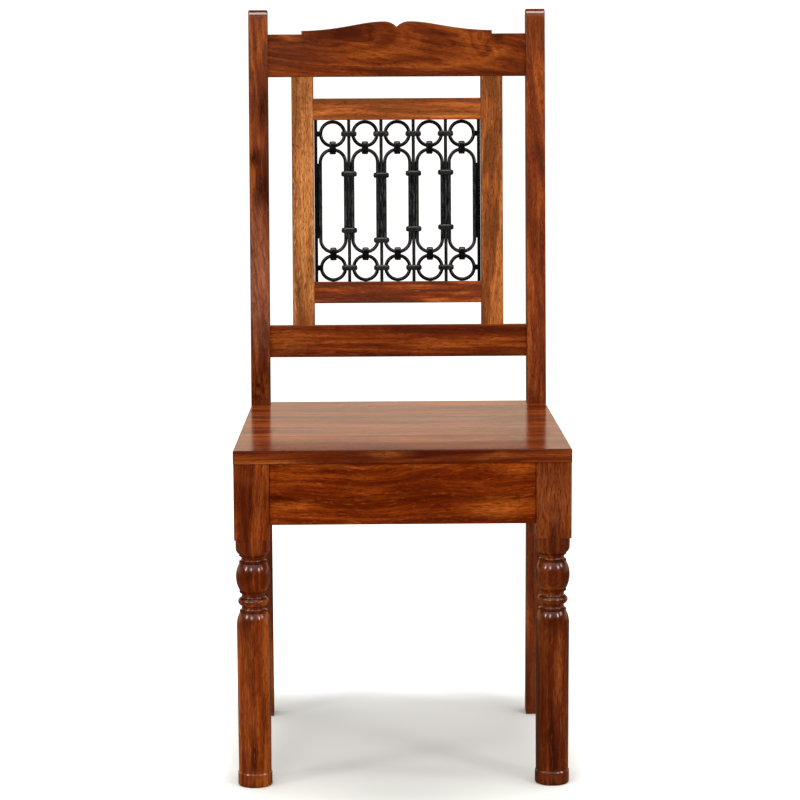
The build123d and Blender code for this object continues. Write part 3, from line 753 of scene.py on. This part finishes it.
def black_iron(name, dark, light, glint_share=0.0):
    """Forged iron under satin black paint, a little uneven, from its darkest to its lightest grey, with
    painted glints where it has a glint share.
    """
    iron = finish(name)
    places = iron.place()
    cloud = iron.noise(places, PAINT_CLOUDS, detail=3.0)
    pits = iron.noise(places, PAINT_PITS)
    dents = iron.noise(places, IRON_DENTS, detail=1.0)
    tint = iron.ramp(cloud, (DARK_PAINT, colour(*dark)), (LIGHT_PAINT, colour(*light)))
    if glint_share > 0:
        # Painted glints: light grey streaks along the middle of the uprights
        glint_noise = iron.noise(places, GLINT_CLOUDS, detail=3.0)
        glint_cover = iron.between(glint_noise, *GLINT_LIMITS, 0.0, glint_share)
        glint_cover = iron.math("MULTIPLY", glint_cover, iron.near(places, GLINT_MIDDLE, GLINT_REACH))
        tint = iron.mix(glint_cover, tint, GLINT_GREY)
    relief = iron.math("ADD", iron.math("MULTIPLY", pits, PIT_HEIGHT), dents)
    iron.coat(
        Base_Color=tint,
        Specular_IOR_Level=IRON_GLOSS,
        Roughness=iron.between(pits, *NOISE_LIMITS, *IRON_ROUGHNESS),
        Normal=iron.bump(relief, IRON_RELIEF, IRON_BUMP),
    )
    return iron.owner


# Steel of the screws: its stains and the scratches along it
STEEL_STAINS = (300.0, 300.0, 300.0)
STEEL_SCRATCHES = (1500.0, 1500.0, 200.0)
STEEL_TINTS = ((0.35, colour(150, 148, 140)), (0.65, colour(196, 195, 190)))
STEEL_ROUGHNESS = (0.28, 0.45)
STEEL_RELIEF = 0.0001
STEEL_BUMP = 0.3


def screw_steel():
    """Zinc plated screws, dull from handling."""
    steel = finish("screw_steel")
    places = steel.place()
    stain = steel.noise(places, STEEL_STAINS, detail=3.0)
    scratch = steel.noise(places, STEEL_SCRATCHES, detail=1.0)
    steel.coat(
        Base_Color=steel.ramp(stain, *STEEL_TINTS),
        Metallic=1.0,
        Roughness=steel.between(stain, *NOISE_LIMITS, *STEEL_ROUGHNESS),
        Normal=steel.bump(scratch, STEEL_RELIEF, STEEL_BUMP),
    )
    return steel.owner


# Finishes that several nodes share, and the finish of each node
iron = black_iron("black_iron", dark=(2, 2, 2), light=(12, 12, 11))
upright_iron = black_iron("upright_iron", dark=(7, 7, 7), light=(24, 23, 22), glint_share=0.38)
# The collars' paint is lighter grey: a painted sheen that stands in for their highlights
collar_iron_painted_sheen = black_iron("collar_iron_painted_sheen", dark=(16, 16, 15), light=(48, 46, 44))
steel = screw_steel()


def node_finish(name, number):
    """The material of one node of the model."""
    if name in PLANKS:
        return LacqueredWood(name, PLANKS[name], number).owner
    if name.endswith("screws"):
        return steel
    if not name.startswith("grille"):
        return sawn_wood(name, number)
    if "collars" in name:
        return collar_iron_painted_sheen
    return upright_iron if name.startswith(("grille_rod", "grille_loop")) else iron


for number, name in enumerate(sorted(nodes)):
    material = node_finish(name, number)
    for slot in nodes[name].material_slots:
        slot.material = material

# Weld seams that close the crevices between each rod and the loops beside it
SEAM_RADIUS = 0.0006
SEAM_SIDES = 8


def seam(corners, faces, start, end):
    """Adds a thin straight tube between two places to the corners and faces of a mesh."""
    first = len(corners)
    along = (end - start).normalized()
    side = along.orthogonal().normalized()
    for place in (start, end):
        for step in range(SEAM_SIDES):
            turn = Matrix.Rotation(2 * pi * step / SEAM_SIDES, 3, along)
            corners.append(place + turn @ side * SEAM_RADIUS)
    for step in range(SEAM_SIDES):
        after = (step + 1) % SEAM_SIDES
        faces.append((first + step, first + after, first + SEAM_SIDES + after, first + SEAM_SIDES + step))
    faces.append(tuple(first + step for step in reversed(range(SEAM_SIDES))))
    faces.append(tuple(first + SEAM_SIDES + step for step in range(SEAM_SIDES)))


def rod_seams(rod, corners, faces):
    """Adds a seam on both sides of a rod, along the straight stretch of the loops."""
    loop_low, loop_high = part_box("grille_loop_1")
    bend = (loop_high.x - loop_low.x) / 2 * cos(BACK_LEAN)
    low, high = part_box(rod)
    radius = (high.x - low.x) / 2
    inset = Vector((radius, radius * cos(BACK_LEAN), radius * sin(BACK_LEAN)))
    bottom = low + inset
    top = high - inset
    rise = top.z - bottom.z
    start = bottom.lerp(top, (loop_low.z + bend - bottom.z) / rise)
    end = bottom.lerp(top, (loop_high.z - bend - bottom.z) / rise)
    for side in (-radius, radius):
        offset = Vector((side, 0.0, 0.0))
        seam(corners, faces, start + offset, end + offset)


corners, faces = [], []
for name in sorted(nodes):
    if name.startswith("grille_rod_"):
        rod_seams(name, corners, faces)
seam_mesh = bpy.data.meshes.new("grille_weld_seams")
seam_mesh.from_pydata(corners, [], faces)
seam_mesh.materials.append(iron)
seams = bpy.data.objects.new("grille_weld_seams", seam_mesh)
bpy.context.scene.collection.objects.link(seams)
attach(seams, "root")

# Floor of white paper: the distances over which it turns plain white, and the shade before the chair
FLOOR_SIZE = 120.0
PLAIN_FLOOR_REACH = (0.7, 2.0)
PLAIN_FLOOR_BESIDE = (0.21, 0.28)
PLAIN_FLOOR_BEHIND = (0.22, 0.36)
SHADE_MIDDLE = (0.0, -0.27, 0.0)
SHADE_REACH = (0.22, 0.16, 1.0)
PAPER = (0.85, 0.875, 0.87, 1.0)
SHADED_PAPER = (0.67, 0.69, 0.685, 1.0)
PAPER_ROUGHNESS = 0.9
PLAIN_FLOOR_GLOW = 0.45
WHITE = (1.0, 1.0, 1.0, 1.0)


def floor_paper():
    """White paper, darker before the chair and glowing where it turns plain white."""
    paper = finish("floor_paper")
    spot = paper.place()
    shade = paper.near(spot, SHADE_MIDDLE, SHADE_REACH)
    away = paper.parts(spot)
    beside = paper.between(paper.math("ABSOLUTE", away["X"]), *PLAIN_FLOOR_BESIDE)
    behind = paper.between(away["Y"], *PLAIN_FLOOR_BEHIND)
    far = paper.between(paper.vector("LENGTH", spot), *PLAIN_FLOOR_REACH)
    plain = paper.math("MAXIMUM", paper.math("MAXIMUM", beside, behind), far)
    paper.coat(
        Base_Color=paper.mix(shade, PAPER, SHADED_PAPER),
        Roughness=PAPER_ROUGHNESS,
        Specular_IOR_Level=0.0,
        Emission_Color=WHITE,
        Emission_Strength=paper.math("MULTIPLY", plain, PLAIN_FLOOR_GLOW),
    )
    return paper.owner


bpy.ops.mesh.primitive_plane_add(size=FLOOR_SIZE)
floor = bpy.context.object
floor.name = "floor"
floor.data.materials.append(floor_paper())
floor.visible_glossy = False

# Colours of the studio, and how far back or up a ray has to look to see each of them
DARK_FRONT = (0.02, 0.02, 0.02, 1.0)
BACKDROP = (0.82, 0.64, 0.47, 1.0)
GROUND = (0.16, 0.15, 0.14, 1.0)
CEILING = (0.9, 0.9, 0.9, 1.0)
DARK_LOFT = (0.06, 0.05, 0.04, 1.0)
BACKDROP_LIMITS = (-0.35, 0.35)
HORIZON_LIMITS = (-0.06, 0.0)
CEILING_LIMITS = (0.25, 0.6)
LOFT_RISE = (0.2, 0.35)
LOFT_BACK = (0.0, 0.2)


def studio():
    """A room that is dark in front, with a warm backdrop, a dim ground and a white ceiling.

    The camera sees it plain white. Mirror images show a dark loft above the backdrop.
    """
    room = Shading(bpy.data.worlds.new("studio"))
    toward = room.parts(room.nodes.new("ShaderNodeTexCoord").outputs["Generated"])
    path = room.nodes.new("ShaderNodeLightPath").outputs
    walls = room.mix(room.between(toward["Y"], *BACKDROP_LIMITS), DARK_FRONT, BACKDROP)
    ground = room.mix(1.0, walls, GROUND, blend="MULTIPLY")
    glow = room.mix(room.between(toward["Z"], *HORIZON_LIMITS), ground, walls)
    glow = room.mix(room.between(toward["Z"], *CEILING_LIMITS), glow, CEILING)
    loft = room.between(toward["Z"], *LOFT_RISE)
    loft = room.math("MULTIPLY", loft, room.between(toward["Y"], *LOFT_BACK))
    glow = room.mix(room.math("MULTIPLY", loft, path["Is Glossy Ray"]), glow, DARK_LOFT)
    fill(room.nodes["Background"], {"Color": room.mix(path["Is Camera Ray"], glow, WHITE)})
    return room.owner


bpy.context.scene.world = studio()

# Four soft boxes in front of the chair, each with its azimuth, elevation and power, and one above it
SOFT_BOXES = {
    "far_left": (-54, 22, 17),
    "left": (-16, 24, 13),
    "right": (42, 22, 17),
    "far_right": (70, 22, 10),
}
BOX_DISTANCE = 3.2
BOX_WIDTH = 0.55
BOX_HEIGHT = 0.6
BOX_AIM = Vector((0.0, 0.0, 0.45))
OVERHEAD_WIDTH = 1.2
OVERHEAD_DEPTH = 1.2
OVERHEAD_PLACE = (0.0, -0.3, 3.2)
OVERHEAD_POWER = 46
UPWARDS = Vector((0.0, 0.0, 1.0))
WARM_WHITE = (1.0, 0.95, 0.88)


def area_light(name, place, direction, width, height, power):
    """A rectangular soft box that shines against the direction given."""
    lamp = bpy.data.lights.new(name, "AREA")
    lamp.shape = "RECTANGLE"
    lamp.size = width
    lamp.size_y = height
    lamp.energy = power
    lamp.color = WARM_WHITE
    box = bpy.data.objects.new(name, lamp)
    bpy.context.scene.collection.objects.link(box)
    box.location = place
    box.rotation_euler = direction.to_track_quat("Z", "Y").to_euler()
    box.visible_camera = False


for name, (azimuth, elevation, power) in SOFT_BOXES.items():
    side, rise = radians(azimuth), radians(elevation)
    outwards = Vector((sin(side) * cos(rise), -cos(side) * cos(rise), sin(rise)))
    place = BOX_AIM + outwards * BOX_DISTANCE
    area_light(f"soft_box_{name}", place, outwards, BOX_WIDTH, BOX_HEIGHT, power)
area_light("overhead", OVERHEAD_PLACE, UPWARDS, OVERHEAD_WIDTH, OVERHEAD_DEPTH, OVERHEAD_POWER)

# Camera, fitted to the photograph
PHOTO_WIDTH = 800
FOCAL_PIXELS = 3450
SENSOR_WIDTH = 36.0
CAMERA_PLACE = (-0.0631, -4.6738, 1.2668)
CAMERA_PITCH = radians(9.48)
CAMERA_YAW = radians(0.772)
CAMERA_ROLL = radians(-0.25)

lens = bpy.data.cameras.new("camera")
lens.sensor_width = SENSOR_WIDTH
lens.lens = FOCAL_PIXELS / PHOTO_WIDTH * SENSOR_WIDTH
camera = bpy.data.objects.new("camera", lens)
bpy.context.scene.collection.objects.link(camera)
camera.location = CAMERA_PLACE
aim = (
    Matrix.Rotation(-CAMERA_YAW, 3, "Z")
    @ Matrix.Rotation(pi / 2 - CAMERA_PITCH, 3, "X")
    @ Matrix.Rotation(CAMERA_ROLL, 3, "Z")
)
camera.rotation_euler = aim.to_euler()
bpy.context.scene.camera = camera
bpy.context.scene.view_settings.view_transform = "Standard"
